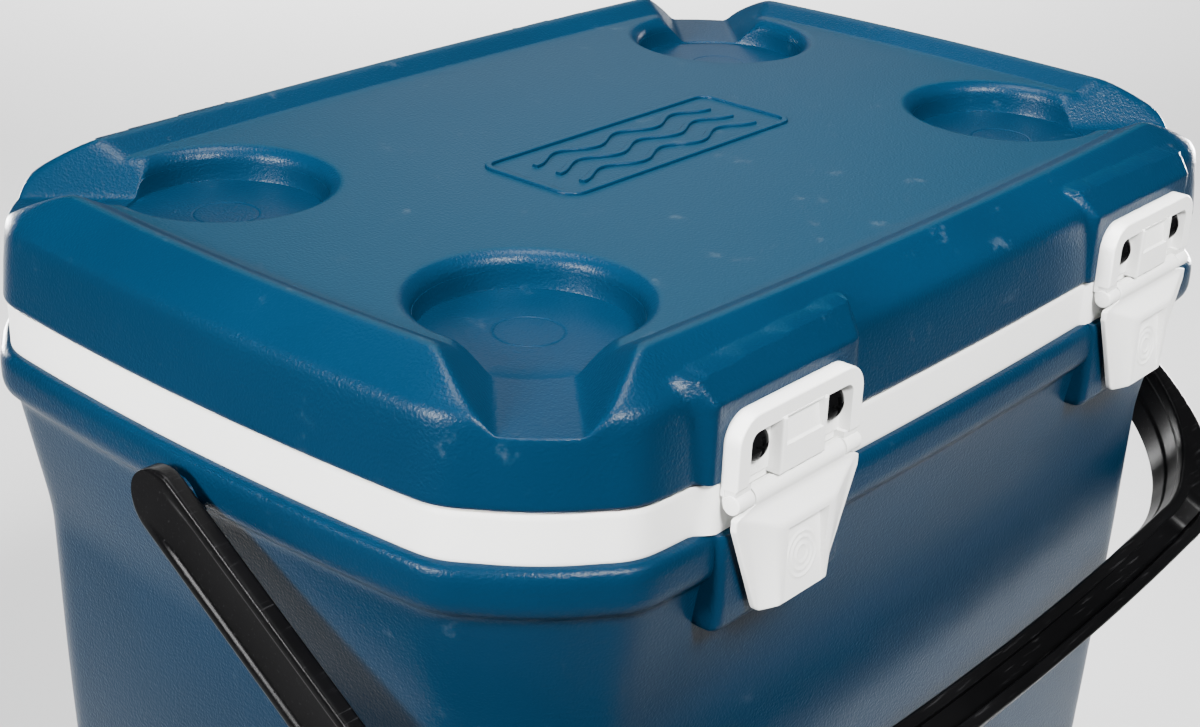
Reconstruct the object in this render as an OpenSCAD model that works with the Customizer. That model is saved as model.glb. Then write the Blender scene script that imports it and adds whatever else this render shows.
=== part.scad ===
// Hard-sided cool box: an insulated tub and lid, two toggle latches, two rear hinges and a swinging bail handle.
// +X runs along the length, -Y is the latch side, +Z is up, and the origin is at the middle of the base.

/* [Cool box] */
// Length over the lower edge of the lid
box_length = 465; // [450:1:480]
// Width over the lower edge of the lid, front to back
box_width = 323; // [310:1:336]
// Height of the recessed field on top of the lid
field_h = 414; // [380:1:440]
// Thickness of the moulded outer skins
skin = 2.6; // [2:0.1:3]
// Distance from the tub's mouth to the outline of the lid
wall = 22; // [18:1:24]

/* [Plan outline] */
// Outward bow of each end
end_bow = 5.2; // [2:0.1:8]
// Outward bow of the front and back
front_bow = 5.2; // [2:0.1:6]
// Distance from the centre line to the cut corner, measured along an end
end_run = 112.5; // [104:0.5:118]
// Distance from the centre line to the cut corner, measured along the front
front_run = 185; // [176:1:190]
// Outward bow of each cut corner
corner_bow = 2; // [0:0.5:5]

/* [Lid] */
// Depth from the field down to the lid's lower edge
lid_drop = 36.5; // [34:0.1:40]
// Height of the border ridge above the field
ridge_h = 5.5; // [4:0.5:8]
// Depth of the cup holders and corner channels
cup_depth = 12.8; // [10:0.1:14]
// Radius of a cup holder's floor
cup_r = 38.2; // [34:0.1:40]
// Half the floor width of a corner channel
channel_w = 13.5; // [10:0.5:16]

/* [Band and flange] */
// Height of the liner band that shows between lid and body
band_h = 18.2; // [16:0.1:22]
// Height of the flange around the body
flange_h = 16; // [12:1:20]

/* [Latches] */
// Distance of each latch from the middle of the front
latch_x = 119; // [105:1:125]
// Half the width of a latch
latch_w = 33.6; // [30:0.2:36]

/* [Handle] */
// Height of the handle's pivot below the field
pivot_drop = 71; // [68:1:76]
// Distance from the pivot axis to the middle of the grip
grip_reach = 210; // [206:1:216]
// Angle of the hanging handle below the horizontal, in degrees
rest_angle = 33; // [32:1:37]

/* [Hidden] */
$fn = 48;

blue = [0.05, 0.30, 0.42];
white = [0.93, 0.93, 0.92];
black = [0.03, 0.03, 0.035];
foam = [0.93, 0.90, 0.70];
steel = [0.70, 0.71, 0.73];

// Levels
lid_z = field_h - lid_drop;
band_top = lid_z - 0.5;
band_z = band_top - band_h;
gap = 0.2;

// Pads that carry the latches and hinges
pad_face = box_width / 2;
pad_w = 38.6;

// Screws
screw_r = 2;
head_r = 5.8;

// ---------- plan outline ----------

function lerp(p, q, t) = p + (q - p) * t;
function bend(p, c, q, t) = lerp(lerp(p, c, t), lerp(c, q, t), t);
function unit(v) = v / norm(v);
function mitre(u, v) = (u + v) / (1 + u * v);

end_pt = [box_length / 2 - end_bow, end_run];
front_pt = [front_run, box_width / 2 - front_bow];
end_normal = unit([1, 2 * end_bow / end_run]);
corner_normal = unit([front_pt.y - end_pt.y, end_pt.x - front_pt.x]);
front_normal = unit([2 * front_bow / front_run, 1]);
corner_round = 10;

// One quarter of the outline, moved inwards by d, from the middle of an end to the middle of a long side
function quarter(d) =
    let (
        e = end_pt - d * mitre(end_normal, corner_normal),
        f = front_pt - d * mitre(corner_normal, front_normal),
        a = box_length / 2 - d,
        b = box_width / 2 - d,
        along = unit(f - e),
        te = 1 - corner_round / e.y,
        tf = 1 - corner_round / f.x,
        e_in = [a - (a - e.x) * te * te, e.y * te],
        e_out = e + corner_round * along,
        f_in = f - corner_round * along,
        f_out = [f.x * tf, b - (b - f.y) * tf * tf]
    )
    concat(
        [for (k = [0:3]) let (t = te * k / 4) [a - (a - e.x) * t * t, e.y * t]],
        [for (k = [0:3]) bend(e_in, e, e_out, k / 3)],
        [lerp(e_out, f_in, 0.5) + corner_bow * corner_normal],
        [for (k = [0:3]) bend(f_in, f, f_out, k / 3)],
        [for (k = [3:-1:0]) let (t = tf * k / 4) [f.x * t, b - (b - f.y) * t * t]]
    );

// The whole outline, anticlockwise
function plan(d) =
    let (q = quarter(d), n = len(q) - 1)
    concat(
        q,
        [for (i = [n - 1:-1:0]) [-q[i].x, q[i].y]],
        [for (i = [1:n]) [-q[i].x, -q[i].y]],
        [for (i = [n - 1:-1:1]) [q[i].x, -q[i].y]]
    );

// A closed solid through rings of [inset from the outline, height], from the bottom up
module loft(rings) {
    loops = [for (r = rings) [for (p = plan(r[0])) [p.x, p.y, r[1]]]];
    n = len(loops[0]);
    m = len(loops);
    points = [for (l = loops) each l];
    sides = [
        for (j = [0:m - 2], i = [0:n - 1])
            let (
                a = j * n + i,
                b = j * n + (i + 1) % n,
                c = b + n,
                d = a + n
            )
            each [[a, d, c], [a, c, b]]
    ];
    bottom = [for (i = [0:n - 1]) i];
    top = [for (i = [n - 1:-1:0]) (m - 1) * n + i];
    polyhedron(points = points, faces = concat([bottom], sides, [top]));
}

// ---------- small helpers ----------

module both_sides(x) {
    for (s = [-1, 1]) translate([s * x, 0, 0]) children();
}

// Extrudes a side-view profile, drawn as [outward from the front, up], across the width w
module across(w) {
    translate([-w / 2, 0, 0])
        rotate([90, 0, 90])
            linear_extrude(w) mirror([1, 0]) children();
}

module x_rod(x0, x1, r) {
    translate([x0, 0, 0]) rotate([0, 90, 0]) cylinder(h = x1 - x0, r = r);
}

// A rectangle with round corners, centred
module round_rect(w, h, r) {
    square([w - 2 * r, h], center = true);
    square([w, h - 2 * r], center = true);
    for (x = [-1, 1], y = [-1, 1]) translate([x * (w / 2 - r), y * (h / 2 - r)]) circle(r);
}

// A pan-head screw along +Y, its head's underside at y = 0
module screw(length, r = head_r) {
    rotate([-90, 0, 0]) {
        translate([0, 0, -0.01]) cylinder(h = length, r = screw_r);
        rotate_extrude() difference() {
            intersection() {
                translate([0, 3.4]) circle(r + 1.6);
                translate([0, -4.2]) square([r, 4.2]);
            }
            translate([0, -6]) square([0.9, 3.2]);
        }
    }
}

// ---------- lid ----------

cup_x = 150;
cup_y = 77.3;
rim_round = 6.2;
channel_rise = 0.2;
channel_slope = 0.917;
channel_dir = atan2(end_run + front_pt.y - 2 * cup_y, end_pt.x + front_run - 2 * cup_x);

function lid_outside() = [
    [0.8, lid_z], [0, lid_z + 0.8], [1.3, field_h - 20], [2.6, field_h - 9.5], [4, field_h - 6.2],
    [7, field_h - 4], [18.5, field_h + 4], [21, field_h + ridge_h],
    [23, field_h + ridge_h - 0.3], [33, field_h]
];

function lid_inside() = [
    [skin + 0.2, lid_z - 1], [skin + 1.3, field_h - 20], [skin + 2.6, field_h - 11],
    [9, field_h - 6.5], [21, field_h + ridge_h - 3.4], [33, field_h - skin]
];

module cup_cut(grow = 0) {
    top = 12;
    translate([cup_x, cup_y, field_h]) rotate_extrude($fn = 96) polygon(concat(
        [[0, -cup_depth - grow], [cup_r + grow, -cup_depth - grow]],
        [for (t = [0:15:90]) [
            cup_r + 0.8 + grow + rim_round * (1 - cos(t)),
            rim_round * (sin(t) - 1)
        ]],
        [[cup_r + 0.8 + grow + rim_round, top], [0, top]]
    ));
}

module channel_cut(grow = 0) {
    top = 12;
    low = channel_rise - cup_depth - grow;
    wide = channel_w + grow + channel_slope * (top - low);
    translate([cup_x, cup_y, field_h]) rotate([90, 0, 90 + channel_dir])
        linear_extrude(110)
            polygon([[-channel_w - grow, low], [channel_w + grow, low], [wide, top], [-wide, top]]);
}

module in_each_corner() {
    for (x = [0, 1], y = [0, 1]) mirror([x, 0, 0]) mirror([0, y, 0]) children();
}

// A pad on a long side with a sloped top, between two depths below the field
module pad(top, bottom, w) {
    across(w) polygon([
        [pad_face - 20, field_h - bottom], [pad_face, field_h - bottom],
        [pad_face, field_h - top - 5], [pad_face - 20, field_h - top + 8]
    ]);
}

// Raised frame and ripples, a plain decoration moulded on the field
module emblem() {
    line = 3;
    translate([0, 0, field_h - 0.5]) linear_extrude(1.6) {
        difference() {
            round_rect(140, 50, 8);
            round_rect(140 - 2 * line, 50 - 2 * line, 8 - line);
        }
        for (row = [-1:1]) translate([0, 12 * row])
            polygon(concat(
                [for (x = [-54:6:54]) [x, 3.2 * cos(x * 10) + line / 2]],
                [for (x = [54:-6:-54]) [x, 3.2 * cos(x * 10) - line / 2]]
            ));
    }
}

module lid_cavity() {
    difference() {
        loft(lid_inside());
        in_each_corner() {
            cup_cut(skin);
            channel_cut(skin);
        }
    }
}

lid_pad_top = 9;
latch_hole_x = 20.5;
latch_hole_drop = 27;
hinge_hole_x = 14;

module lid_shell() {
    color(blue) difference() {
        union() {
            loft(lid_outside());
            emblem();
            both_sides(latch_x) pad(lid_pad_top, lid_drop, 2 * pad_w);
            rotate([0, 0, 180]) both_sides(latch_x) pad(lid_pad_top, lid_drop, 60);
        }
        in_each_corner() {
            cup_cut();
            channel_cut();
        }
        lid_cavity();
        both_sides(latch_x) both_sides(latch_hole_x)
            translate([0, -pad_face - 1, field_h - latch_hole_drop]) rotate([-90, 0, 0])
                cylinder(h = 9.4, r = screw_r + 0.05);
        both_sides(latch_x) both_sides(hinge_hole_x)
            translate([0, pad_face + 1, field_h - hinge_screw_drop]) rotate([90, 0, 0])
                cylinder(h = 9.4, r = screw_r + 0.05);
    }
}

liner_t = 2.4;
plug_inset = wall + 4;
plug_z = lid_z - 8;

module lid_liner() {
    color(white) difference() {
        union() {
            loft([[skin + 0.6, lid_z + 0.7], [skin + 0.7, lid_z + 3.1]]);
            loft([[plug_inset + 2, plug_z], [plug_inset, plug_z + 2], [plug_inset, lid_z + 1]]);
        }
        loft([[plug_inset + 4, plug_z + liner_t], [plug_inset + liner_t, plug_z + 5],
              [plug_inset + liner_t, lid_z + 4]]);
    }
}

module lid_foam() {
    color(foam) difference() {
        union() {
            loft([
                [skin + 0.8, lid_z + 3.3], [skin + 1.6, field_h - 20], [skin + 3, field_h - 11.4],
                [9.4, field_h - 7], [21, field_h + ridge_h - 4], [33, field_h - skin - 0.4]
            ]);
            loft([[plug_inset + 4.4, plug_z + liner_t + 0.3], [plug_inset + liner_t + 0.3, plug_z + 5.2],
                  [plug_inset + liner_t + 0.3, lid_z + 4]]);
        }
        in_each_corner() {
            cup_cut(skin + 0.4);
            channel_cut(skin + 0.4);
        }
    }
}

// ---------- body ----------

function body_outside() = [
    [27, 0], [22.5, 1.2], [20, 5], [19.2, 11], [15, field_h - 296], [11.6, field_h - 194],
    [10.6, field_h - 128], [9.6, field_h - 119], [2, band_z - flange_h - 3.6],
    [-1.6, band_z - flange_h - 0.6], [-2.9, band_z - flange_h + 3], [-2.9, band_z - 4.5],
    [-2, band_z - 1.4], [0, band_z]
];

function body_inside() = [
    [27, skin], [22, skin + 6], [15 + skin, field_h - 296], [11.6 + skin, field_h - 194],
    [10.6 + skin, field_h - 126], [2.6 + skin, band_z - flange_h - 4.4],
    [0, band_z - flange_h + 3], [0, band_z - skin]
];

collar_z = field_h - 119;
pivot_z = field_h - pivot_drop;
pivot_r = 5;
boss_r = 8;
boss_end = box_length / 2 + 6.4;
boss_depth = 22;
keeper_drop = 92;

module pivot_boss(r) {
    for (s = [0, 1]) mirror([s, 0, 0])
        translate([0, 0, pivot_z]) x_rod(boss_end - boss_depth, boss_end, r);
}

// Block under a latch that the lever closes over, with a rib for the lever's bead
module keeper() {
    face = pad_face + 2.7;
    across(2 * latch_w) polygon([
        [pad_face - 20, band_z], [face, band_z], [face, field_h - keeper_drop + 4],
        [face - 3, field_h - keeper_drop], [pad_face - 20, field_h - keeper_drop]
    ]);
    across(36) polygon([
        [face - 1, field_h - 74], [face + 1.4, field_h - 72.5],
        [face + 1.4, field_h - 71.5], [face - 1, field_h - 70]
    ]);
}

// Everything between two heights
module between(z0, z1) {
    intersection() {
        children();
        translate([-box_length, -box_width, z0]) cube([2 * box_length, 2 * box_width, z1 - z0]);
    }
}

// The whole outer wall with the blocks that the latches and hinges close on
module body_wall() {
    difference() {
        union() {
            loft(body_outside());
            both_sides(latch_x) keeper();
            rotate([0, 0, 180]) both_sides(latch_x) pad(keeper_drop - 34.6, keeper_drop, 60);
        }
        loft(body_inside());
    }
}

module body_shell() {
    color(blue) between(0, collar_z) body_wall();
}

module body_collar() {
    lip = 6;
    color(blue) difference() {
        union() {
            between(collar_z, band_z + 10) body_wall();
            pivot_boss(boss_r);
            difference() {
                loft([[0, band_z - skin], [0, band_z]]);
                loft([[lip, band_z - skin - 1], [lip, band_z + 1]]);
            }
        }
        loft([[lip, band_z - skin - 0.5], [lip, band_z + 20]]);
        translate([0, 0, pivot_z]) for (s = [0, 1]) mirror([s, 0, 0])
            x_rod(boss_end - boss_depth + 3, boss_end + 1, pivot_r + 0.06);
        both_sides(latch_x) both_sides(hinge_hole_x)
            translate([0, pad_face + 1, hinge_body_hole_z]) rotate([90, 0, 0])
                cylinder(h = 8.6, r = screw_r + 0.05);
        // Flat seat across the flange for each rear hinge
        both_sides(latch_x) translate([-leaf_w / 2 - 7, pad_face, collar_z - 1])
            cube([leaf_w + 14, 10, band_z - collar_z + 2]);
    }
}

tub_floor = 26;

// The step in the band under a latch, with slanted cheeks
module band_step() {
    base = box_width / 2 - 8;
    face = pad_face - 0.4;
    translate([0, 0, band_z]) linear_extrude(band_h)
        polygon([[-latch_w - 10, -base], [-latch_w - 1, -face], [latch_w + 1, -face], [latch_w + 10, -base]]);
}

module body_liner() {
    color(white) difference() {
        union() {
            loft([[1.2, band_z], [1.2, band_top - 1], [2, band_top]]);
            loft([[wall + 18, tub_floor - liner_t], [wall + 14 - liner_t, tub_floor + 8],
                  [wall - liner_t, band_top - 1]]);
            both_sides(latch_x) band_step();
        }
        loft([[wall + 20, tub_floor], [wall + 15, tub_floor + 9], [wall, band_top + 1]]);
        difference() {
            loft([[1.2 + liner_t, band_z - 1], [1.2 + liner_t, band_top - liner_t]]);
            loft([[wall - liner_t + 0.9, band_z - 2], [wall - liner_t, band_top]]);
        }
    }
}

module body_foam() {
    color(foam) difference() {
        union() {
            loft([
                [27.3, skin + gap], [22.4, skin + 6.2], [15.3 + skin, field_h - 296],
                [11.9 + skin, field_h - 194], [10.9 + skin, field_h - 126.4],
                [3 + skin, band_z - flange_h - 5], [0.3, band_z - flange_h + 3],
                [0.3, band_z - skin - gap]
            ]);
            loft([[6.3, band_z - skin - 1], [6.3, band_top - liner_t - gap]]);
        }
        loft([[wall + 17.6, tub_floor - liner_t - 0.3], [wall + 13.4 - liner_t, tub_floor + 7.6],
              [wall - liner_t - 0.4, band_top + 1]]);
        pivot_boss(boss_r + 0.3);
    }
}

// ---------- latches ----------

hinge_y = pad_face + 4.2;
hinge_drop = 43.5;
knuckle_r = 3.4;
latch_pin_r = 1.6;
plate_top = 14;
plate_bottom = 38.5;
plate_floor = 2.2;
rim_face = 6.4;

// Places a latch part, drawn with its pivot axis through the origin and its outside towards -Y
module at_latch(s) {
    translate([s * latch_x, -hinge_y, field_h - hinge_drop]) children();
}

// Outline of the mounting plate: square below, round above
module plate_outline(inset) {
    w = latch_w - inset;
    low = hinge_drop - plate_bottom;
    high = hinge_drop - plate_top - inset;
    r = 10 - inset;
    translate([-w, low]) square([2 * w, high - low - r]);
    translate([-w + r, low]) square([2 * w - 2 * r, high - low]);
    both_sides(w - r) translate([0, high - r]) circle(r);
}

// Extrudes a front-view outline [across, up] between two distances outward from the pad's face
module outward(from, to) {
    translate([0, hinge_y - pad_face - from, 0]) rotate([90, 0, 0]) linear_extrude(to - from) children();
}

module latch_plate(s) {
    color(white) at_latch(s) difference() {
        union() {
            outward(0, plate_floor) plate_outline(0);
            outward(0, rim_face) difference() {
                plate_outline(0);
                plate_outline(6.5);
                translate([-latch_w + 6.5, 0]) square([2 * latch_w - 13, 12]);
            }
            outward(0, rim_face + 1) translate([-12.2, hinge_drop - 39.6]) square([24.4, 20.6]);
            outward(0, rim_face - 1) translate([-12.2, hinge_drop - 20]) square([24.4, 4]);
            for (side = [-1, 1]) translate([side * 29, 0, 0]) {
                x_rod(-4, 4, knuckle_r);
                translate([-4, 0.6, -2]) cube([8, 3, 8]);
            }
        }
        outward(rim_face - 1, rim_face + 2) translate([-9.5, hinge_drop - 29]) square([19, 9.5]);
        x_rod(-latch_w, latch_w, latch_pin_r);
        both_sides(latch_hole_x)
            translate([0, 6, hinge_drop - latch_hole_drop]) rotate([90, 0, 0])
                cylinder(h = 10, r = screw_r + 0.3);
    }
}

lever_top = 48;
lever_bottom = 87;

// The wedge of the lever: a plate whose sides taper downwards, with a raised faceted front
module lever_wedge() {
    top = hinge_drop - lever_top;
    low = hinge_drop - lever_bottom;
    back = 0.7;
    edge = 2.8;
    lift = 7.4;
    points = [
        [-latch_w, top], [latch_w, top], [latch_w, top - 4], [20, low + 2], [18, low], [-18, low],
        [-20, low + 2], [-latch_w, top - 4]
    ];
    rotate([90, 0, 0]) translate([0, 0, back]) linear_extrude(edge - back) polygon(points);
    hull() {
        rotate([90, 0, 0]) translate([0, 0, edge - 0.5]) linear_extrude(0.5)
            polygon([[-latch_w + 3, top - 4], [latch_w - 3, top - 4], [18, low + 0.5], [-18, low + 0.5]]);
        rotate([90, 0, 0]) translate([0, 0, lift - 1]) linear_extrude(1)
            polygon([[-15, top - 7], [15, top - 7], [13, low + 1.5], [-13, low + 1.5]]);
    }
}

module latch_lever(s) {
    top = hinge_drop - lever_top;
    low = hinge_drop - lever_bottom;
    color(white) at_latch(s) difference() {
        union() {
            x_rod(-24.4, 24.4, knuckle_r);
            translate([-24.4, -3, top - 1]) cube([48.8, 2.3, -top + 1]);
            lever_wedge();
        }
        x_rod(-latch_w, latch_w, latch_pin_r + 0.05);
        translate([-10.5, 0, 0]) rotate([90, 0, 90]) linear_extrude(21)
            polygon([[-9, top - 10], [-3.6, top - 10], [-7.2, low + 4], [-9, low + 4]]);
        translate([-19, 0, 0]) rotate([90, 0, 90]) linear_extrude(38)
            polygon([[0, -33], [0, -23.5], [-2.4, -25], [-2.4, -31.5]]);
    }
}

module latch_pin(s) {
    color(steel) at_latch(s) x_rod(-33, 33, latch_pin_r);
}

module latch_screws() {
    color(black) both_sides(latch_x) both_sides(latch_hole_x)
        translate([0, -pad_face - plate_floor, field_h - latch_hole_drop]) screw(7);
}

// ---------- rear hinges ----------

barrel_y = pad_face + 7;
barrel_z = band_z + band_h / 2;
barrel_r = 5;
leaf_w = 46;
leaf_t = 3;
hinge_pin_r = 2.5;
hinge_screw_drop = 26;
hinge_body_hole_z = field_h - 78;

module at_hinge(s) {
    translate([s * latch_x, barrel_y, barrel_z]) children();
}

// One leaf: a screwed plate from z0 to z1, and a neck to its knuckles
module leaf(z0, z1, hole_z, knuckles, neck) {
    back = pad_face - barrel_y;
    difference() {
        union() {
            translate([-leaf_w / 2, back, z0]) cube([leaf_w, leaf_t, z1 - z0]);
            for (k = knuckles) {
                x_rod(k[0], k[1], barrel_r);
                translate([k[0], back, min(neck, 0)]) cube([k[1] - k[0], -back, abs(neck)]);
            }
        }
        x_rod(-leaf_w, leaf_w, hinge_pin_r + 0.05);
        both_sides(hinge_hole_x) translate([0, 1, hole_z]) rotate([90, 0, 0]) cylinder(h = 9, r = screw_r + 0.3);
    }
}

module hinge_lid_leaf(s) {
    color(white) at_hinge(s)
        leaf(lid_z + 1 - barrel_z, field_h - 17 - barrel_z, field_h - hinge_screw_drop - barrel_z,
             [[-9.8, 9.8]], lid_z + 3 - barrel_z);
}

module hinge_body_leaf(s) {
    color(white) at_hinge(s)
        leaf(field_h - 90 - barrel_z, band_z - 2 - barrel_z, hinge_body_hole_z - barrel_z,
             [[-23, -10.2], [10.2, 23]], band_z - 4 - barrel_z);
}

module hinge_pin(s) {
    color(steel) at_hinge(s) x_rod(-24, 24, hinge_pin_r);
}

module hinge_screws(z) {
    color(black) rotate([0, 0, 180]) both_sides(latch_x) both_sides(hinge_hole_x)
        translate([0, -pad_face - leaf_t, z]) screw(7.8, 4);
}

// ---------- bail handle ----------

arm_x = box_length / 2 + 7;
arm_t = 7;
arm_w = 27;
grip_t = 19;
grip_w = 24;
grip_bow = 6;
turn_r = 74;
arm_mid = arm_x + arm_t / 2;
corner_reach = grip_reach - grip_bow;

// Path of the bail in its own plane as [x, distance from the pivot], with the share of the way into the grip
function bail_path() =
    let (
        half = concat(
            [for (t = [0, 0.5, 0.85, 1]) [arm_mid, (corner_reach - turn_r) * t, 0]],
            [for (a = [9:9:90]) [
                arm_mid - turn_r * (1 - cos(a)),
                corner_reach - turn_r + turn_r * sin(a),
                min(1, a / 60)
            ]],
            [for (k = [1:4]) let (u = k / 4) [
                (arm_mid - turn_r) * (1 - u),
                corner_reach + grip_bow * (1 - (1 - u) * (1 - u)),
                1
            ]]
        )
    )
    concat(half, [for (i = [len(half) - 2:-1:0]) [-half[i][0], half[i][1], half[i][2]]]);

// Cross-section with cut corners, as [in plane, across plane]
function bail_section(t, w, c) = [
    [t / 2, w / 2 - c], [t / 2 - c, w / 2], [-t / 2 + c, w / 2], [-t / 2, w / 2 - c],
    [-t / 2, -w / 2 + c], [-t / 2 + c, -w / 2], [t / 2 - c, -w / 2], [t / 2, -w / 2 + c]
];

// Sweeps a list of cross-sections along path points [x, reach], standing each in the plane of the bend
module sweep(path, sections) {
    n = len(sections[0]);
    m = len(path);
    points = [
        for (j = [0:m - 1])
            let (
                p = path[max(j - 1, 0)],
                q = path[min(j + 1, m - 1)],
                way = unit([q[0] - p[0], q[1] - p[1]]),
                out = [way.y, -way.x]
            )
            for (s = sections[j]) [path[j][0] + out.x * s[0], -path[j][1] - out.y * s[0], s[1]]
    ];
    sides = [
        for (j = [0:m - 2], i = [0:n - 1])
            let (a = j * n + i, b = j * n + (i + 1) % n)
            each [[a, b + n, b], [a, a + n, b + n]]
    ];
    first = [for (i = [0:n - 1]) i];
    last = [for (i = [n - 1:-1:0]) (m - 1) * n + i];
    polyhedron(points = points, faces = concat([first], sides, [last]));
}

module at_pivot() {
    translate([0, 0, pivot_z]) rotate([rest_angle, 0, 0]) children();
}

module bail_handle() {
    path = bail_path();
    slot = [for (p = path) if (p[2] >= 1) p];
    color(black) at_pivot() difference() {
        union() {
            sweep(path, [for (p = path)
                bail_section(lerp(arm_t, grip_t, p[2]), lerp(arm_w, grip_w, p[2]), 2.5)]);
            for (s = [0, 1]) mirror([s, 0, 0]) x_rod(arm_x, arm_x + arm_t, arm_w / 2);
        }
        translate([0, 0, grip_w / 2 - 5]) sweep(slot, [for (p = slot) bail_section(8, 14, 0.8)]);
        for (s = [0, 1]) mirror([s, 0, 0]) x_rod(arm_x - 1, arm_x + arm_t - 3, pivot_r);
    }
}

module handle_pin(s) {
    color(black) translate([0, 0, pivot_z]) mirror([s < 0 ? 1 : 0, 0, 0])
        x_rod(boss_end - boss_depth + 4, arm_x + arm_t - 3, pivot_r);
}

body_shell();
body_collar();
body_liner();
body_foam();
lid_shell();
lid_liner();
lid_foam();
latch_plate(-1);  // latch_plate_left
latch_plate(1);  // latch_plate_right
latch_lever(-1);  // latch_lever_left
latch_lever(1);  // latch_lever_right
latch_pin(-1);  // latch_pin_left
latch_pin(1);  // latch_pin_right
latch_screws();
hinge_lid_leaf(-1);  // hinge_lid_leaf_left
hinge_lid_leaf(1);  // hinge_lid_leaf_right
hinge_body_leaf(-1);  // hinge_body_leaf_left
hinge_body_leaf(1);  // hinge_body_leaf_right
hinge_pin(-1);  // hinge_pin_left
hinge_pin(1);  // hinge_pin_right
hinge_screws(field_h - hinge_screw_drop);  // hinge_lid_screws
hinge_screws(hinge_body_hole_z);  // hinge_body_screws
bail_handle();
handle_pin(-1);  // handle_pin_left
handle_pin(1);  // handle_pin_right
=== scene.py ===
"""Builds the looks of a hard-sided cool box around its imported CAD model."""

import math

import bmesh
import bpy
import numpy as np
from bpy.props import FloatProperty, FloatVectorProperty, PointerProperty
from mathutils import Matrix, Vector


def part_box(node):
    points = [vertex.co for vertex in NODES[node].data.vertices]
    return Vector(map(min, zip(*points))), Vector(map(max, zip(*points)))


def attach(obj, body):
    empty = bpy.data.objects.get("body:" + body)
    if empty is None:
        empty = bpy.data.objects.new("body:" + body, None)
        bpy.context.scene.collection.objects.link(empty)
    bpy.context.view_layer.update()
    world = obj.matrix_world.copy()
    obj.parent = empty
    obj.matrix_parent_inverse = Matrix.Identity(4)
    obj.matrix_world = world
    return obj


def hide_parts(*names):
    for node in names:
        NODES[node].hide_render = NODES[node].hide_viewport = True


bl_info = {
    "name": "Cool Box",
    "version": (1, 0, 0),
    "blender": (4, 5, 0),
    "location": "View3D > Sidebar > Cool Box",
    "description": "Moulded skins, latches, hinges and bail of a hard-sided cool box",
    "category": "Object",
}

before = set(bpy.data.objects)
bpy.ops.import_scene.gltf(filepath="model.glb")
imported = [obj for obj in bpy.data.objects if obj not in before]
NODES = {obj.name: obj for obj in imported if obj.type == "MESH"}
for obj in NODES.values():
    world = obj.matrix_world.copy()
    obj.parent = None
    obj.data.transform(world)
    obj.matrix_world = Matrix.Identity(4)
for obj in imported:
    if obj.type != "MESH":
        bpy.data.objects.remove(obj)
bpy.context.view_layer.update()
MM = 0.001

# Places on the CAD model, in millimetres. Shapes are worked out in millimetres and made in metres.
# Heights on the lid and latches are mostly given as drops below the lid's flat field.
LID_Z = np.array(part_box("lid_shell")[0])[2] / MM
BOSS_END = np.array(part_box("body_collar")[1])[0] / MM
BAIL_END = np.array(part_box("bail_handle")[1])[0] / MM
LENGTH = 465.0
WIDTH = 323.0
FIELD = 414.0
BAND_TOP = LID_Z - 0.5
BAND_Z = BAND_TOP - 18.2
WALL = 22.0
# The flat face on which latches and hinges lie, and the middle of each of them along X
FACE = WIDTH / 2
LATCH_X = 119.0
LATCH_W = 33.6
# The latch pin, out from the face and below the field
AXIS_OUT = 4.2
AXIS_DROP = 43.5
PIVOT_Z = FIELD - 71.0
COLLAR_Z = 295.0
# Half the width of the rear seats, and of the front pads, and how far both stop below the field
SEAT_HALF = 30.0
PAD_HALF = 38.6
PAD_DROP = 9.5
REST_ANGLE = 33.0


# ---------- numbers to shapes ----------

def blend_min(a, b, k):
    """The smaller of two heights, with the crease between them rounded over a difference k."""
    h = np.clip(k - np.abs(a - b), 0, None) / k
    return np.minimum(a, b) - h * h * k / 4


def blend_max(a, b, k):
    """The larger of two heights, with the crease between them rounded over a difference k."""
    return -blend_min(-a, -b, k)


def ease(low, high, x):
    """Goes from 0 at low to 1 at high along 3t^2 - 2t^3."""
    t = np.clip((x - low) / (high - low), 0, 1)
    return t * t * (3 - 2 * t)


def unit(v):
    """A vector, or each vector of a stack, divided by its length."""
    return v / np.linalg.norm(v, axis=-1, keepdims=True)


def graded(low, high, step, fine=(), reach=3.0, closer=5.0):
    """Samples a step apart, drawn closer together around each place in fine.

    The spacing is step / (1 + closer * sum of exp(-((t - place) / reach)^2)).
    """
    t = np.linspace(low, high, 4001)
    weight = 1 + closer * sum((np.exp(-((t - f) / reach) ** 2) for f in fine), np.zeros_like(t))
    total = np.concatenate([[0], np.cumsum((weight[1:] + weight[:-1]) / 2 * np.diff(t))])
    return np.interp(np.linspace(0, total[-1], int(math.ceil(total[-1] / step)) + 1), total, t)


def softened(points, cut, steps=5, closed=False):
    """Replaces each corner of a line by the quadratic curve that starts and ends cut away from it.

    A corner c gives (1-t)^2 p + 2t(1-t) c + t^2 q, where p and q lie on its two sides.
    Points may be a stack of lines, (lines, corners, 2).
    """
    p = np.asarray(points, float)
    before, after = np.roll(p, 1, -2), np.roll(p, -1, -2)
    reach = np.broadcast_to(np.asarray(cut, float), p.shape[-2:-1])[:, None]

    def toward(q):
        far = np.linalg.norm(q - p, axis=-1, keepdims=True)
        return p + (q - p) * np.minimum(reach / np.maximum(far, 1e-9), 0.49)

    t = np.linspace(0, 1, steps)[:, None]
    a, b, c = toward(before)[..., None, :], toward(after)[..., None, :], p[..., None, :]
    curve = (1 - t) ** 2 * a + 2 * t * (1 - t) * c + t * t * b
    if closed:
        return curve.reshape(p.shape[:-2] + (-1, 2))
    inner = curve[..., 1:-1, :, :].reshape(p.shape[:-2] + (-1, 2))
    return np.concatenate([p[..., :1, :], inner, p[..., -1:, :]], -2)


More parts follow.
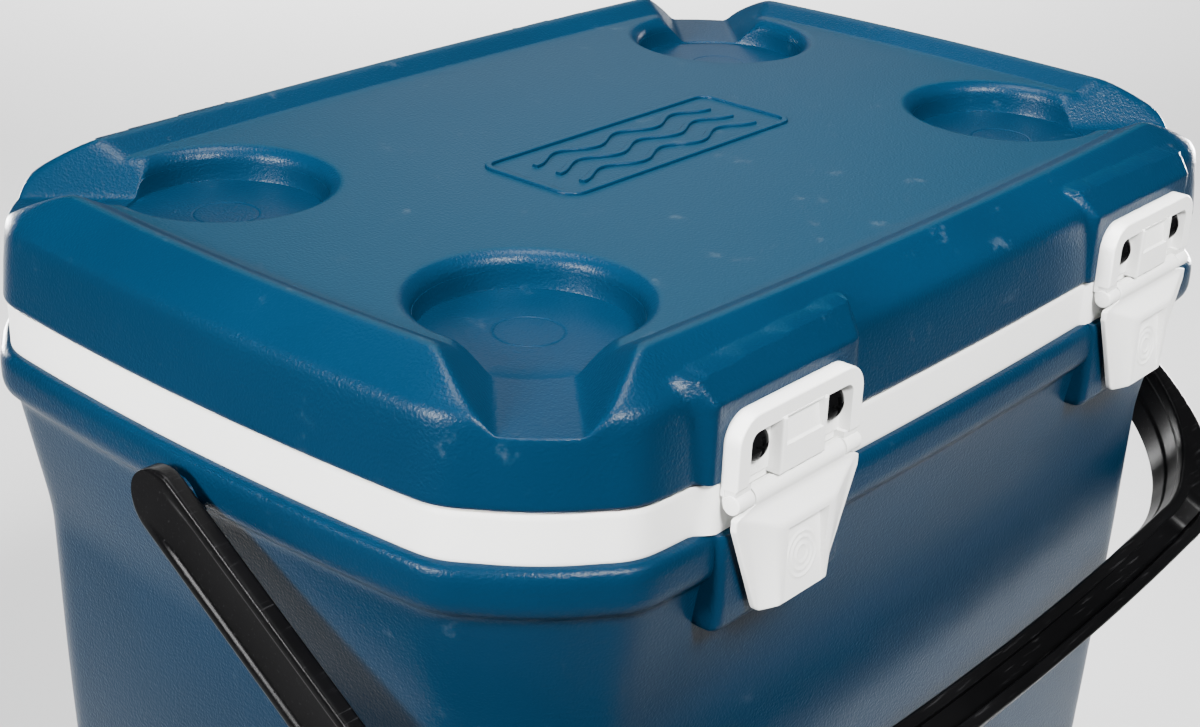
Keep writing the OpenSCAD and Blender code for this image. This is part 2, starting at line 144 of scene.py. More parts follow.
def along(points, step, corner=0):
    """Resamples a line of (inset, height) pairs about step apart, closer together at its rounded corners.

    A softened line has a corner's middle at every fifth point from the fourth on. With corner = 0 the steps
    are even.
    """
    far = np.concatenate([[0], np.cumsum(np.linalg.norm(np.diff(points, axis=0), axis=1))])
    t = graded(0, far[-1], step, far[3::5], 4.0, corner)
    return np.stack([np.interp(t, far, points[:, i]) for i in range(points.shape[1])], 1)


# ---------- plan outline ----------

END_POINT = np.array([LENGTH / 2 - 5.2, 112.5])
FRONT_POINT = np.array([185.0, WIDTH / 2 - 5.2])
END_NORMAL = unit(np.array([1, 2 * 5.2 / 112.5]))
FRONT_NORMAL = unit(np.array([2 * 5.2 / 185, 1]))
CORNER_NORMAL = unit(np.array([FRONT_POINT[1] - END_POINT[1], END_POINT[0] - FRONT_POINT[0]]))
END_MITRE = (END_NORMAL + CORNER_NORMAL) / (1 + END_NORMAL @ CORNER_NORMAL)
FRONT_MITRE = (FRONT_NORMAL + CORNER_NORMAL) / (1 + FRONT_NORMAL @ CORNER_NORMAL)
CORNER_ROUND = 10.0
CORNER_BOW = 2.0


def quarter_sides(inset, end_t, corner_t, facet_t, front_t):
    """One quarter of the outline at each inset, from the middle of the +X end to the middle of the +Y side.

    An end is x = a - (a - ex) t^2, y = ey t, and a long side is the same turned. The cut corner is a straight
    line with a parabolic bow, and both joins are quadratic curves over ten millimetres.
    """
    d = np.atleast_1d(inset).astype(float)[:, None]
    e, f = END_POINT - d * END_MITRE, FRONT_POINT - d * FRONT_MITRE
    ex, ey, fx, fy = e[:, :1], e[:, 1:], f[:, :1], f[:, 1:]
    a, b = LENGTH / 2 - d, WIDTH / 2 - d
    way = unit(f - e)

    def end(t):
        return np.stack([a - (a - ex) * t * t, ey * t], -1)

    def front(t):
        return np.stack([fx * t, b - (b - fy) * t * t], -1)

    def bend(p, c, q, t):
        t = t[None, :, None]
        return (1 - t) ** 2 * p[:, None] + 2 * t * (1 - t) * c[:, None] + t * t * q[:, None]

    te, tf = 1 - CORNER_ROUND / ey, 1 - CORNER_ROUND / fx
    e_out, f_in = e + CORNER_ROUND * way, f - CORNER_ROUND * way
    t = facet_t[None, :, None]
    facet = e_out[:, None] * (1 - t) + f_in[:, None] * t + 4 * t * (1 - t) * CORNER_BOW * CORNER_NORMAL
    return np.concatenate([
        end(te * end_t),
        bend(end(te)[:, 0], e, e_out, corner_t),
        facet,
        bend(f_in, f, front(tf)[:, 0], corner_t),
        front(tf * front_t),
    ], 1)


END_T = np.linspace(0, 1, 27)[:-1]
CORNER_T = np.linspace(0, 1, 11)
FACET_T = np.linspace(0, 1, 28)[1:-1]
FRONT_T = graded(0, 1, 0.024, (LATCH_X + np.array([-PAD_HALF, PAD_HALF])) / 175, 0.02, 3.0)[::-1][1:]


def whole_loop(inset, rounds=4):
    """The whole outline at each inset, anticlockwise: four mirrored quarters, smoothed by 1-2-1 averages."""
    q = quarter_sides(inset, END_T, CORNER_T, FACET_T, FRONT_T)
    loop = np.concatenate([q, (q * [-1, 1])[:, -2::-1], -q[:, 1:], (q * [1, -1])[:, -2:0:-1]], 1)
    for _ in range(rounds):
        loop = (np.roll(loop, 1, 1) + 2 * loop + np.roll(loop, -1, 1)) / 4
    return loop


QUARTER_COUNT = len(END_T) + len(CORNER_T) * 2 + len(FACET_T) + len(FRONT_T)


# ---------- arrays to meshes ----------

def grid_faces(rows, columns, wrap=False):
    """Quads over a grid of vertices numbered row by row; the last column joins the first if it wraps."""
    i, j = np.arange(rows - 1)[:, None], np.arange(columns if wrap else columns - 1)[None]
    a, b = i * columns + j, i * columns + (j + 1) % columns
    return np.stack([a, b, b + columns, a + columns], -1).reshape(-1, 4)


def sheet(points, wrap=False):
    """A grid of points (rows, columns, 3) as a part, facing along column direction x row direction."""
    return points.reshape(-1, 3), [grid_faces(points.shape[0], points.shape[1], wrap)]


def tube(points, ends=None):
    """Closed rings (rings, points, 3) as a solid, with a fan from the middle of each end ring."""
    rings, count = points.shape[:2]
    middle = np.stack([points[0].mean(0), points[-1].mean(0)]) if ends is None else np.asarray(ends, float)
    i = np.arange(count)
    j = (i + 1) % count
    low = np.stack([np.full(count, rings * count), j, i], 1)
    high = np.stack([np.full(count, rings * count + 1), i + (rings - 1) * count, j + (rings - 1) * count], 1)
    return np.concatenate([points.reshape(-1, 3), middle]), [grid_faces(rings, count, True), low, high]


def relief(across, up, half_width, height, back):
    """A slab with a shaped front, as (across, up, outward) points.

    Its front is height(x, y) over the grid x = u * half_width(y), y. A wall drops from its edge to the back.
    """
    y = np.repeat(up[:, None], len(across), 1)
    x = across[None] * half_width(y)
    front = np.stack([x, y, height(x, y)], -1)
    rows, columns = y.shape
    index = np.arange(rows * columns).reshape(rows, columns)
    edge = np.concatenate([index[0, :-1], index[:-1, -1], index[-1, :0:-1], index[:0:-1, 0]])
    flat = front.reshape(-1, 3)
    rim = flat[edge] * [1, 1, 0] + [0, 0, back]
    count, base = len(edge), rows * columns
    i = np.arange(count)
    j = (i + 1) % count
    side = np.stack([base + i, base + j, edge[j], edge[i]], 1)
    fan = np.stack([np.full(count, base + count), base + j, base + i], 1)
    points = np.concatenate([flat, rim, rim.mean(0)[None]])
    return points, [grid_faces(rows, columns), side, fan]


def turned(profile, count=64):
    """A line of (radius, height) pairs turned about the third axis; a radius of 0 closes a pole."""
    a = np.linspace(0, 2 * math.pi, count, endpoint=False)
    p = np.asarray(profile, float)
    r, z = p[:, :1], p[:, 1:]
    return sheet(np.stack([r * np.cos(a), r * np.sin(a), z + 0 * a], -1), True)


def placed(part, matrix, offset=(0, 0, 0)):
    """A part moved by a 3 x 3 matrix and an offset; a matrix that mirrors also turns the faces round."""
    points, faces = part
    m = np.asarray(matrix, float)
    if np.linalg.det(m) < 0:
        faces = [f[:, ::-1] for f in faces]
    return points @ m.T + np.asarray(offset, float), faces


FACING_FRONT = np.array([[1, 0, 0], [0, 0, -1], [0, 1, 0]])
FACING_BACK = np.array([[-1, 0, 0], [0, 0, 1], [0, 1, 0]])
FACING_END = np.array([[0, 0, 1], [1, 0, 0], [0, 1, 0]])


def make(name, parts, material, body, replaces=(), crease=38.0):
    """Joins parts into one mesh in metres, merges their seams, and hangs it on its CAD body."""
    points, loops, sizes, base = [], [], [], 0
    for p, faces in parts:
        points.append(p * MM)
        for f in faces:
            loops.append((f + base).ravel())
            sizes.append(np.full(len(f), f.shape[1]))
        base += len(p)
    points, loops, sizes = np.concatenate(points), np.concatenate(loops), np.concatenate(sizes)
    mesh = bpy.data.meshes.new(name)
    mesh.vertices.add(len(points))
    mesh.vertices.foreach_set("co", points.astype(np.float32).ravel())
    mesh.loops.add(len(loops))
    mesh.loops.foreach_set("vertex_index", loops.astype(np.int32))
    mesh.polygons.add(len(sizes))
    mesh.polygons.foreach_set("loop_start", (np.cumsum(sizes) - sizes).astype(np.int32))
    mesh.update(calc_edges=True)
    work = bmesh.new()
    work.from_mesh(mesh)
    bmesh.ops.remove_doubles(work, verts=work.verts, dist=2e-6)
    bmesh.ops.dissolve_degenerate(work, edges=work.edges, dist=1e-7)
    work.to_mesh(mesh)
    work.free()
    mesh.polygons.foreach_set("use_smooth", np.ones(len(mesh.polygons), bool))
    mesh.set_sharp_from_angle(angle=math.radians(crease))
    mesh.materials.append(material)
    piece = bpy.data.objects.new(name, mesh)
    bpy.context.scene.collection.objects.link(piece)
    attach(piece, body)
    if replaces:
        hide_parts(*replaces)
    return piece


# ---------- finishes ----------

class Wire:
    """A socket in a shader tree. Arithmetic on values adds Math nodes; node() adds any other node."""

    def __init__(self, tree, socket=None):
        self.tree, self.socket = tree, socket

    def node(self, kind, settings=None, inputs=None, out=0):
        """Adds a node: its settings first, then its sockets' values or links, and returns one output."""
        made = self.tree.nodes.new(kind)
        for key, value in (settings or {}).items():
            setattr(made, key, value)
        for key, value in (inputs or {}).items():
            if isinstance(value, Wire):
                self.tree.links.new(value.socket, made.inputs[key])
            else:
                made.inputs[key].default_value = value
        return Wire(self.tree, made.outputs[out])

    def math(self, operation, a, b):
        return self.node("ShaderNodeMath", {"operation": operation}, {0: a, 1: b})

    def __add__(self, other):
        return self.math("ADD", self, other)

    def __radd__(self, other):
        return self.math("ADD", other, self)

    def __mul__(self, other):
        return self.math("MULTIPLY", self, other)

    def __rmul__(self, other):
        return self.math("MULTIPLY", other, self)

    def between(self, low, high):
        """0 below low, 1 above high, and smooth between."""
        return self.node(
            "ShaderNodeMapRange", {"interpolation_type": "SMOOTHSTEP"},
            {"Value": self, "From Min": low, "From Max": high})

    def noise(self, place, scale, detail=2.0, rough=0.5):
        """Noise from 0 to 1 with so many patches a metre."""
        return self.node("ShaderNodeTexNoise", None,
                         {"Vector": place, "Scale": scale, "Detail": detail, "Roughness": rough})

    def mixed(self, factor, a, b):
        """Goes from colour a to colour b."""
        return self.node("ShaderNodeMix", {"data_type": "RGBA"}, {0: factor, 6: a, 7: b}, 2)

    def channel(self, axis):
        """One coordinate of a vector."""
        return self.node("ShaderNodeSeparateXYZ", None, {0: self}, axis)


def shade(colour, factor):
    """A colour made darker or lighter by a factor."""
    return tuple(c * factor for c in colour[:3]) + (1.0,)


def new_material(name):
    """An empty material: its wire, its Object coordinates and its shader node."""
    material = bpy.data.materials.new(name)
    material.use_nodes = True
    tree = material.node_tree
    shader = tree.nodes["Principled BSDF"]
    wire = Wire(tree)
    place = wire.node("ShaderNodeTexCoord", None, None, 3)
    return material, wire, place, shader


def connect(tree, shader, colour, rough, normal, specular=0.5):
    """Links what varies over a surface and sets how strongly it mirrors."""
    shader.inputs["Specular IOR Level"].default_value = specular
    tree.links.new(colour.socket, shader.inputs["Base Color"])
    tree.links.new(rough.socket, shader.inputs["Roughness"])
    tree.links.new(normal.socket, shader.inputs["Normal"])


def blue_plastic(name, finish):
    """Moulded blue skin: pebble grain, a painted sheen on the lid's flat field (a paler grey-blue colour in
    place of the light it reflects; the field is also rougher), and a little dust.
    """
    material, w, place, shader = new_material(name)
    normal = w.node("ShaderNodeNewGeometry", None, None, 1)
    # Mask of the lid's flat field, facing up at the field's height: it carries the painted sheen and a rougher
    # finish
    flat = normal.channel(2).between(0.90, 0.99)
    top = place.channel(2).between((FIELD - 1.5) * MM, (FIELD - 0.5) * MM)
    field = flat * top
    broad = w.noise(place, 7.0, 3.0)
    fine = w.noise(place, 1500.0, 2.0)
    pebble = w.node("ShaderNodeTexVoronoi", {"feature": "SMOOTH_F1"},
                    {"Vector": place, "Scale": 900.0, "Smoothness": 0.6})
    speck = w.noise(place, 1000.0, 1.0)
    deep, clear = shade(finish.blue, 0.90), shade(finish.blue, 1.10)
    colour = w.mixed(broad.between(0.3, 0.7), deep, clear)
    # Painted sheen: the up-facing flat field is mixed towards a paler grey-blue that stands in for the light it
    # reflects from above and behind
    colour = w.mixed(field * 0.85, colour, (*finish.painted_sheen, 1.0))
    dust = w.noise(place, 60.0, 4.0, 0.7).between(0.62, 0.80)
    colour = w.mixed(dust * 0.05, colour, (0.35, 0.45, 0.5, 1))
    rough = finish.blue_rough + fine * 0.06 + broad * 0.08 + field * 0.12
    grain = w.node("ShaderNodeBump", None,
                   {"Strength": 0.22, "Distance": 0.0005, "Height": pebble * 0.8 + fine * 0.5})
    orange = w.node("ShaderNodeBump", None,
                    {"Strength": 0.22, "Distance": 0.0006, "Height": speck, "Normal": grain})
    connect(w.tree, shader, colour, rough, orange, 0.10)
    return material


def white_plastic(name, finish, scale, rough_low):
    """White plastic: a faint lighter and darker mottle, fine grain, dust in patches."""
    material, w, place, shader = new_material(name)
    broad = w.noise(place, scale, 4.0)
    fine = w.noise(place, 1100.0, 2.0)
    dust = w.noise(place, 45.0, 5.0, 0.65).between(0.58, 0.80)
    colour = w.mixed(broad.between(0.3, 0.7), shade(finish.white, 0.97), (*finish.white, 1.0))
    colour = w.mixed(dust * 0.06, colour, (0.62, 0.60, 0.55, 1))
    rough = rough_low + broad * 0.10 + dust * 0.10
    bump = w.node("ShaderNodeBump", None,
                  {"Strength": 0.10, "Distance": 0.0004, "Height": fine + broad * 2.0})
    connect(w.tree, shader, colour, rough, bump)
    return material


def black_plastic(name, finish, rough_low, grain):
    """Black plastic: satin, with faint flow marks and hairline rubs that catch the light."""
    material, w, place, shader = new_material(name)
    broad = w.noise(place, 18.0, 3.0)
    fine = w.noise(place, 1400.0, 2.0)
    stretched = w.node("ShaderNodeMapping", None, {"Vector": place, "Scale": (60.0, 900.0, 900.0)})
    rubs = w.noise(stretched, 1.0, 3.0).between(0.60, 0.74)
    colour = w.mixed(broad.between(0.35, 0.65), shade(finish.black, 0.8), shade(finish.black, 1.25))
    colour = w.mixed(rubs * 0.10, colour, (0.10, 0.10, 0.105, 1))
    rough = rough_low + broad * 0.12 + rubs * 0.10
    bump = w.node("ShaderNodeBump", None,
                  {"Strength": grain, "Distance": 0.0003, "Height": fine + rubs * 0.4})
    connect(w.tree, shader, colour, rough, bump, 0.05)
    return material


def steel(name):
    """Drawn steel: fine rings along the rod and slight stain."""
    material, w, place, shader = new_material(name)
    stretched = w.node("ShaderNodeMapping", None, {"Vector": place, "Scale": (3000.0, 80.0, 80.0)})
    lines = w.noise(stretched, 1.0, 2.0)
    stain = w.noise(place, 120.0, 3.0)
    colour = w.mixed(stain.between(0.4, 0.7), (0.62, 0.62, 0.63, 1), (0.48, 0.47, 0.45, 1))
    rough = 0.22 + lines * 0.15 + stain * 0.10
    bump = w.node("ShaderNodeBump", None, {"Strength": 0.15, "Distance": 0.0002, "Height": lines})
    connect(w.tree, shader, colour, rough, bump)
    shader.inputs["Metallic"].default_value = 1.0
    return material


def foam_core(name):
    """Cream rigid foam with closed cells."""
    material, w, place, shader = new_material(name)
    cells = w.node("ShaderNodeTexVoronoi", None, {"Vector": place, "Scale": 900.0})
    tone = w.noise(place, 25.0, 4.0)
    colour = w.mixed(tone.between(0.3, 0.7), (0.80, 0.74, 0.50, 1), (0.70, 0.62, 0.38, 1))
    rough = 0.75 + cells * 0.15
    bump = w.node("ShaderNodeBump", None, {"Strength": 0.4, "Distance": 0.0006, "Height": cells})
    connect(w.tree, shader, colour, rough, bump)
    return material


# ---------- lid ----------

CUP = np.array([150.0, 77.3])
CUP_DEPTH = 12.8
CUP_R = 38.2
RIM = 6.2
CHANNEL_W = 13.5
CHANNEL_SLOPE = 0.917
CHANNEL_WAY = unit(END_POINT + FRONT_POINT - 2 * CUP)
# From the field's border over the ridge, down the wall and in under the lip: (inset, height above the field)
LID_PROFILE = [
    [33, 0], [23, 5.2], [21, 5.5], [18.5, 4], [7, -4], [4, -6.2], [2.6, -9.5], [1.3, -20],
    [0, LID_Z + 0.8 - FIELD], [0.8, LID_Z - FIELD], [3.0, LID_Z - FIELD], [3.3, LID_Z + 3.2 - FIELD],
]
LID_CUTS = [0, 3, 2, 3, 2, 3, 3, 4, 0.5, 0.5, 0.2, 0]


def cup_height(r):
    """Height in a cup holder at radius r: flat floor with a faint ring, small fillet, wall, rounded rim."""
    mark = -0.25 * np.exp(-((r - 12.2) / 0.35) ** 2)
    floor = -CUP_DEPTH + mark
    wall = -CUP_DEPTH + 12.0 * (r - CUP_R + 0.4)
    t = np.clip((r - CUP_R - 0.5) / RIM, 0, 1)
    rim = RIM * (np.sqrt(np.clip(1 - (1 - t) ** 2, 0, 1)) - 1)
    return np.where(r > CUP_R + 0.2, np.minimum(wall, rim), blend_max(floor, np.minimum(wall, -RIM), 2.2))


def cut_height(x, y, level):
    """A level lowered to the cup holder and to the channel that runs from it out through the corner."""
    rel = np.stack([x - CUP[0], y - CUP[1]], -1)
    r = np.linalg.norm(rel, axis=-1)
    u = rel @ CHANNEL_WAY
    v = np.abs(rel[..., 0] * CHANNEL_WAY[1] - rel[..., 1] * CHANNEL_WAY[0])
    low = 0.2 - CUP_DEPTH
    channel = blend_max(low, low + (v - CHANNEL_W) / CHANNEL_SLOPE, 1.6)
    # The channel rises out of the way inside the cup and on the cup's far side
    channel = channel + 4 * (1 - ease(28, 37, r)) + 60 * (u < 0)
    z = np.where(r < CUP_R + RIM + 0.5, np.minimum(cup_height(r), level), level)
    return np.where(channel < z + 2.6, blend_min(z, channel, 2.6), z)


def lid_quadrant():
    """A quarter of the lid's skin as two grids around the cup holder.

    Each column is a line from the cup's middle, over its rim, to a point of the field's border. The columns that
    reach the outline go on over the ridge, down the wall and in under the lip.
    """
    profile = along(softened(np.array(LID_PROFILE), LID_CUTS), 1.0)
    rings = whole_loop(profile[:, 0])[:, :QUARTER_COUNT]
    radii = np.concatenate([
        [0], np.linspace(3, 10, 3), np.linspace(11.2, 13.2, 9), np.linspace(16, 33, 4),
        np.linspace(35, CUP_R + 0.5, 14),
        CUP_R + 0.5 + RIM * (1 - np.cos(np.linspace(0.25, math.pi / 2, 11))),
    ])
    share = np.linspace(0, 1, 9)[1:-1] ** 1.3
    last = radii[-1]

    def spokes(targets):
        """Columns of points from the cup's middle to each target, circles first, then evenly spread."""
        away = targets - CUP
        far = np.linalg.norm(away, axis=1)
        way = away / far[:, None]
        r = np.concatenate([
            np.repeat(radii[:, None], len(far), 1), last + (far - last)[None] * share[:, None], far[None]])
        return CUP + way[None] * r[..., None]

    inner = spokes(rings[0])
    flat = np.concatenate([inner, rings[1:]])
    level = np.concatenate([np.zeros(len(inner)), profile[1:, 1]])[:, None]
    z = cut_height(flat[..., 0], flat[..., 1], level + np.zeros(flat.shape[:2]))
    under = profile[:, 1] < -25
    z[len(inner) - 1:][under] = profile[under, 1][:, None]
    outer = np.concatenate([flat, z[..., None] + FIELD], -1)
    for _ in range(4):
        border = outer[len(inner) - 1:-12]
        border[1:-1] = (border[:-2] + 2 * border[1:-1] + border[2:]) / 4
    close = np.zeros((1, outer.shape[1], 3)) + [0, 0, outer[-1, 0, 2]]
    outer = np.concatenate([outer, close])
    # The rest of the way round the cup: out to the two middle lines of the lid
    start = math.atan2(*(rings[0, -1] - CUP)[::-1])
    stop = 2 * math.pi + math.atan2(*(rings[0, 0] - CUP)[::-1])
    corner = math.pi + math.atan2(CUP[1], CUP[0])
    angle = np.concatenate([np.linspace(start, corner, 24), np.linspace(corner, stop, 46)[1:]])
    way = np.stack([np.cos(angle), np.sin(angle)], 1)
    to_side = np.where(way[:, 0] < -1e-9, -CUP[0] / np.minimum(way[:, 0], -1e-9), 1e9)
    to_front = np.where(way[:, 1] < -1e-9, -CUP[1] / np.minimum(way[:, 1], -1e-9), 1e9)
    targets = CUP + way * np.minimum(to_side, to_front)[:, None]
    targets[0], targets[-1] = rings[0, -1], rings[0, 0]
    flat = spokes(targets)
    z = cut_height(flat[..., 0], flat[..., 1], np.zeros(flat.shape[:2]))
    middle = np.concatenate([flat, z[..., None] + FIELD], -1)
    return outer, middle


def flat_pad(x, y, z, half, side):
    """How far out a long side stands at a latch's or hinge's pad: a flat face, a shoulder and soft cheeks."""
    off = np.abs(np.abs(x) - LATCH_X) - half
    shoulder = FACE - np.clip(z - (FIELD - PAD_DROP), 0, None) * 0.85
    wanted = blend_min(shoulder, FACE - off * 2.2, 3.0)
    wanted = np.where(off > 6, -1e3, wanted)
    out = side * y
    lifted = np.where(wanted > out - 2.0, blend_max(out, wanted, 2.0), out)
    return np.where((out > 120) & (lifted > out), side * lifted, y)


def lid_skin():
    """The lid's skin from its quarter, mirrored, with pads standing out of both long sides."""
    parts = []
    for grid in lid_quadrant():
        for sx in (1, -1):
            for sy in (1, -1):
                points, faces = sheet(grid * [sx, sy, 1])
                # Rows run outwards and columns anticlockwise, so the unmirrored sheet faces down
                parts.append((points, [f[:, ::-1] for f in faces] if sx * sy > 0 else faces))
    result = []
    for points, faces in parts:
        x, y, z = points.T
        y2 = flat_pad(x, y, z, PAD_HALF, -1)
        y2 = flat_pad(x, y2, z, SEAT_HALF, 1)
        inner = (np.abs(y) < FACE - 14) | ((z < LID_Z + 3.3) & (np.abs(y) < FACE - 5.4))
        result.append((np.stack([x, np.where(inner, y, y2), z], 1), faces))
    return result


def strip(path, width, height, closed):
    """A low rounded bead carried along a flat line (points, 2): its section is a lens on a short wall."""
    step = (np.roll(path, -1, 0) - np.roll(path, 1, 0)) if closed else np.gradient(path, axis=0)
    side = unit(step) @ np.array([[0, -1], [1, 0]])
    section = softened(np.array([
        [-width / 2, -0.6], [width / 2, -0.6], [width / 2 - 0.25, height], [-width / 2 + 0.25, height]]),
        [0.05, 0.05, 0.5, 0.5], 5, True)
    ring = path[:, None] - side[:, None] * section[None, :, :1]
    points = np.concatenate([ring, np.repeat(section[None, :, 1:], len(path), 0)], -1)
    if closed:
        points = np.concatenate([points, points[:1]])
        return sheet(points, True)
    return tube(points)


def rounded_rectangle(half_x, half_y, r):
    """A rectangle with quarter circles at its corners, anticlockwise."""
    a = np.linspace(0, math.pi / 2, 10)
    arc = np.stack([np.cos(a), np.sin(a)], 1) * r
    corner = np.array([half_x - r, half_y - r])
    turn = np.array([[0, -1], [1, 0]])
    return np.concatenate([
        arc @ np.linalg.matrix_power(turn, k).T + corner * s
        for k, s in enumerate(((1, 1), (-1, 1), (-1, -1), (1, -1)))])


# ---------- body ----------

# Up the outside from the base, over the flange and down the inside, as (inset, height)
BODY_PROFILE = [
    [27, 0], [22.5, 1.2], [20, 5], [19.2, 11], [15, 118], [11.6, 220], [10.6, 286], [9.6, 295], [2, 339.2],
    [-1.6, 342.2], [-2.9, 345.8], [-2.9, 354.3], [-2, 357.4], [0, BAND_Z], [6, BAND_Z],
    [6, BAND_Z - 2.6], [3.2, BAND_Z - 6], [5, 336], [12.4, 294], [13.4, 286], [14.2, 220], [17.6, 118],
    [22, 9], [28, 3],
]
BODY_CUTS = [0, 1, 2, 3, 20, 20, 4, 5, 4, 1.6, 2.4, 2.4, 1.4, 0.8, 0.4, 0.6, 1, 2, 4, 4, 10, 10, 3, 0]


def lofted(profile, cuts, step):
    """Rings through a line of (inset, height): the plan outline at each inset, its corners rounded by cuts."""
    line = along(softened(np.array(profile, float), cuts), step, 6.0)
    loops = whole_loop(line[:, 0])
    z = np.broadcast_to(line[:, None, 1:], loops.shape[:2] + (1,))
    return np.concatenate([loops, z], -1)


def keeper_block():
    """The block that a latch lever closes over: round upright edges and a soft chamfer below."""
    section = softened(np.array([[-LATCH_W, -16], [LATCH_W, -16], [LATCH_W, 2.7], [-LATCH_W, 2.7]]),
                       [0.5, 0.5, 3.2, 3.2], 8, True)
    drops = np.array([92, 91.7, 91, 89.5, 87.5, 80, 70, 60, 56, 55.4])
    back = np.array([4.0, 2.6, 1.5, 0.6, 0.0, 0, 0, 0, 0, 0.4])
    side = np.array([1.6, 0.9, 0.4, 0.1, 0, 0, 0, 0, 0, 0.2])
    x = section[None, :, 0] * (1 - side[:, None] / LATCH_W)
    out = section[None, :, 1] - back[:, None] * (section[None, :, 1] > -10)
    y = np.broadcast_to(FIELD - drops[:, None], x.shape)
    return tube(np.stack([x, -(FACE + out), y], -1)[:, ::-1])


def bead(half):
    """A low ridge across the keeper's face for the lever's snap: a rod of radius 1.3 (1 - (x / half)^6)^0.5."""
    x = np.linspace(-half, half, 25)
    a = np.linspace(0, 2 * math.pi, 17)[:-1]
    r = 1.3 * np.sqrt(np.clip(1 - (x / half) ** 6, 0.001, 1))
    y = -(FACE + 2.6) + r[:, None] * np.cos(a)
    z = FIELD - 72 + 1.6 * r[:, None] * np.sin(a)
    return tube(np.stack([x[:, None] + 0 * a, y, z], -1)[:, ::-1])


def rear_pad(top, bottom):
    """A flat pad with round edges on the back, between two depths below the field."""
    up = graded(FIELD - bottom, FIELD - top, 1.5, (FIELD - bottom, FIELD - top), 2, 3)

    def height(x, y):
        edge = np.minimum(np.minimum(SEAT_HALF - np.abs(x), y - (FIELD - bottom)), FIELD - top - y)
        near = np.clip(edge, 0, 3)
        return -3 + np.sqrt(np.clip(9 - (3 - near) ** 2, 0, None))

    return relief(graded(-1, 1, 0.05, (-1, 1), 0.06, 3), up, lambda y: SEAT_HALF + 0 * y, height, -22)


def pivot_boss():
    """A round boss on an end for the bail's pivot, with a soft outer edge: a turned line."""
    return turned([[0, -22], [8, -22], [8, -1.2], [7.7, -0.5], [7, 0], [5.2, 0], [5.1, -2], [0, -2]], 48)


# ---------- band and tub ----------

# Out under the tub's floor, up behind the body's walls, round the band and down the inside of the tub
LINER_PROFILE = [
    [40, 23.6], [33.6, 34], [WALL - 2.4, BAND_TOP - 2.4], [3.6, BAND_TOP - 2.4], [3.6, BAND_Z], [1.2, BAND_Z],
    [1.2, BAND_TOP - 0.2], [WALL - 0.5, BAND_TOP], [WALL + 15, 36], [WALL + 21, 26],
]
LINER_CUTS = [0, 4, 3, 0.5, 0.3, 0.4, 1.4, 2.0, 8, 0]


def band_step(x, y, z):
    """How far out the band stands in the step under each latch, with slanted cheeks."""
    off = np.abs(np.abs(x) - LATCH_X) - LATCH_W - 1
    face = FACE - 0.4 - np.clip(off, 0, None) * 0.844
    wanted = np.where(off > 8, -1e3, face)
    out = -y
    rim = (out > FACE - 7.5) & (z > BAND_Z - 0.1) & (z < BAND_TOP + 0.1)
    return np.where(rim, -blend_max(out, wanted, 0.8), y)


# ---------- latches ----------

# The mounting plate's top and the foot of its rim, and the radius of its top corners
PLATE_TOP = FIELD - 14
PLATE_LOW = FIELD - 38.5
PLATE_ROUND = 10.0
# The plate's middle block and the pocket in it
BLOCK_HALF = 12.2
BLOCK_TOP, BLOCK_LOW = FIELD - 19.0, FIELD - 39.6
BLOCK_POCKET_TOP, BLOCK_POCKET_LOW = FIELD - 20.0, FIELD - 29.4
# The lever, as drops below the field: its neck, foot, finger pocket and the middle of the pocket's rings
NECK_W = 24.4
NECK_DROP = 40.2
FOOT_DROP = 87.0
POCKET_HALF = 10.6
POCKET_DROP, POCKET_END = 58.0, 84.8
RING_DROP = 71.5
BARREL_R = 3.4


def edge_round(distance, r):
    """How far a face has dropped near its edge: a quarter circle of radius r."""
    return r - np.sqrt(np.clip(r * r - (r - np.clip(distance, 0, r)) ** 2, 0, None))


def plate_width(y):
    """Half the width of the mounting plate at a height: straight, with quarter circles at the top corners."""
    up = np.clip(y - (PLATE_TOP - PLATE_ROUND), 0, PLATE_ROUND)
    return LATCH_W - PLATE_ROUND + np.sqrt(np.clip(PLATE_ROUND ** 2 - up * up, 0, None))


def plate_height(x, y):
    """Outward height of the mounting plate: a raised rim round the sides and top, and a recessed floor."""
    cx, cy = np.abs(x) - (LATCH_W - PLATE_ROUND), y - (PLATE_TOP - PLATE_ROUND)
    corner = PLATE_ROUND - np.sqrt(np.clip(cx, 0, None) ** 2 + np.clip(cy, 0, None) ** 2)
    edge = np.where((cx > 0) & (cy > 0), corner, np.minimum(LATCH_W - np.abs(x), PLATE_TOP - y))
    inner = ease(7.0, 6.2, edge)
    rim = 6.4 - edge_round(np.minimum(edge, y - PLATE_LOW), 0.8)
    floor = 2.2 - 0.7 * ease(PLATE_LOW + 0.4, PLATE_LOW - 0.4, y)
    return np.where(y > PLATE_LOW - 0.01, floor + inner * (rim - floor), floor)


def block_height(x, y):
    """The plate's middle block: a soft-edged block with a shallow pocket that deepens upwards."""
    edge = np.minimum(BLOCK_HALF - np.abs(x), y - BLOCK_LOW)
    face = 7.4 - edge_round(edge, 0.9)
    inside = np.minimum(9.6 - np.abs(x), np.minimum(y - BLOCK_POCKET_LOW, BLOCK_POCKET_TOP - y))
    floor = 4.6 + 1.6 * np.clip((BLOCK_POCKET_TOP - y) / (BLOCK_POCKET_TOP - BLOCK_POCKET_LOW), 0, 1)
    pocket = floor + 5 * np.clip(-inside, 0, None)
    head = ease(BLOCK_TOP + 0.4, BLOCK_TOP - 2.0, y)
    return np.minimum(blend_min(face, pocket, 0.5), 5.6 + 3 * head)


def lever_width(y):
    """Half the width of the lever: neck, ears, then a taper to its foot."""
    drop = FIELD - y
    neck = NECK_W + (LATCH_W - NECK_W) * ease(45.2, 48.6, drop)
    taper = LATCH_W - (LATCH_W - 20) * np.clip((drop - 52) / 33, 0, 1)
    foot = 2.6 * np.clip((drop - 84.4) / 2.6, 0, 1) ** 2
    return np.minimum(neck, taper - foot)


